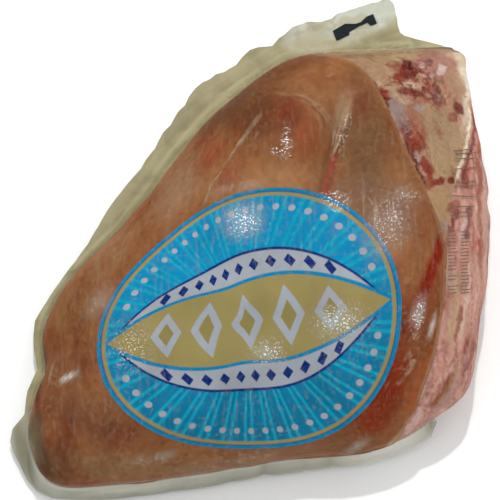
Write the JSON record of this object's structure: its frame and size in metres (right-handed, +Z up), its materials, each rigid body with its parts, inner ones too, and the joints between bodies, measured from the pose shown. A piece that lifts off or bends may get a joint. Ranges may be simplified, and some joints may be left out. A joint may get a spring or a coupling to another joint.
{
  "type": "vacuum-packed ham hock",
  "caption": "Smoked ham hock, bone in, vacuum-packed in a clear bag with a narrow film border and an end tab; it lies on its flat side on a shelf, tray or worktop.",
  "frame": {"origin": "on the surface the pack lies on, under the middle of its box", "axes": "+Z up, +Y from the side with the ankle end towards the bag's tab, +X towards the sawn face"},
  "size_m": [0.194, 0.2234, 0.076],
  "materials": {
    "packed_meat": "glossy clear film drawn tight on smoked brown skin",
    "meat": "moist smoked skin, fat and cut meat",
    "film": "clear glossy wrinkled film",
    "print": "glossy ink printed on the film"
  },
  "bodies": {
    "root": {"hock_pack": "packed_meat"}
  },
  "joints": []
}
